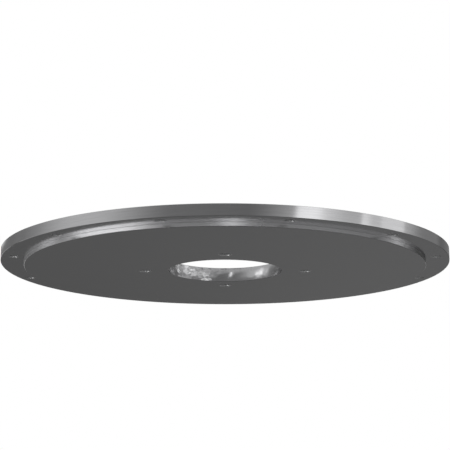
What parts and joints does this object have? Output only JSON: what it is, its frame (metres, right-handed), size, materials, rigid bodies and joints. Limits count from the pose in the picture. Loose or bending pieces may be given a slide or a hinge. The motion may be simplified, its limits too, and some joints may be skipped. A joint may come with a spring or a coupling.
{
  "type": "bored blind flange",
  "caption": "Thin round flange plate with a stepped register spigot, a polished central port and two circles of plain bolt holes.",
  "frame": {"origin": "centre of the spigot's face, which is the lowest face, on the plate's axis", "axes": "+Z along the plate's axis, from the spigot's face to the back face; the inner bolt holes lie on X and Y"},
  "size_m": [0.4999, 0.5, 0.016],
  "materials": {
    "turned_steel": "fine turned, semi-bright"
  },
  "bodies": {
    "root": {"flange_plate": "turned_steel"}
  },
  "joints": []
}
